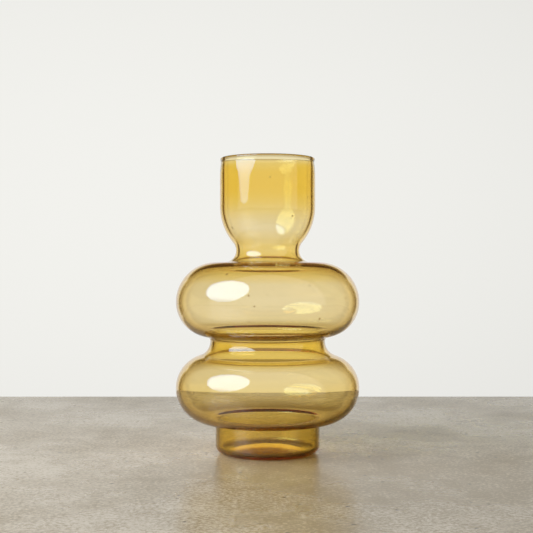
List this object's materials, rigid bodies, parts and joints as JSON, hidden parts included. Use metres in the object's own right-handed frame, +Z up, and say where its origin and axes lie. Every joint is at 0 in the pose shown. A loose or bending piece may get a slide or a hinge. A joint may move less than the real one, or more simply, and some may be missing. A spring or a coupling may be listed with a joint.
{
  "type": "gourd vase",
  "caption": "Clear amber glass gourd vase: cup-shaped mouth, narrow neck, wide rounded bulbs with a waist between, and a short straight foot. Holds cut stems in water.",
  "frame": {"origin": "centre of the flat standing ring under the foot, on the table plane", "axes": "+Z up along the vase's axis, towards the mouth; the shape is the same all round, and -Y faces the picture's camera"},
  "size_m": [0.1244, 0.1244, 0.2],
  "materials": {
    "glass": "clear, fire-polished"
  },
  "bodies": {
    "root": {"base_disc": "glass", "foot_ring": "glass", "lower_bulb": "glass", "waist": "glass", "upper_bulb": "glass", "neck": "glass", "cup": "glass", "rim_lip": "glass"}
  },
  "joints": []
}
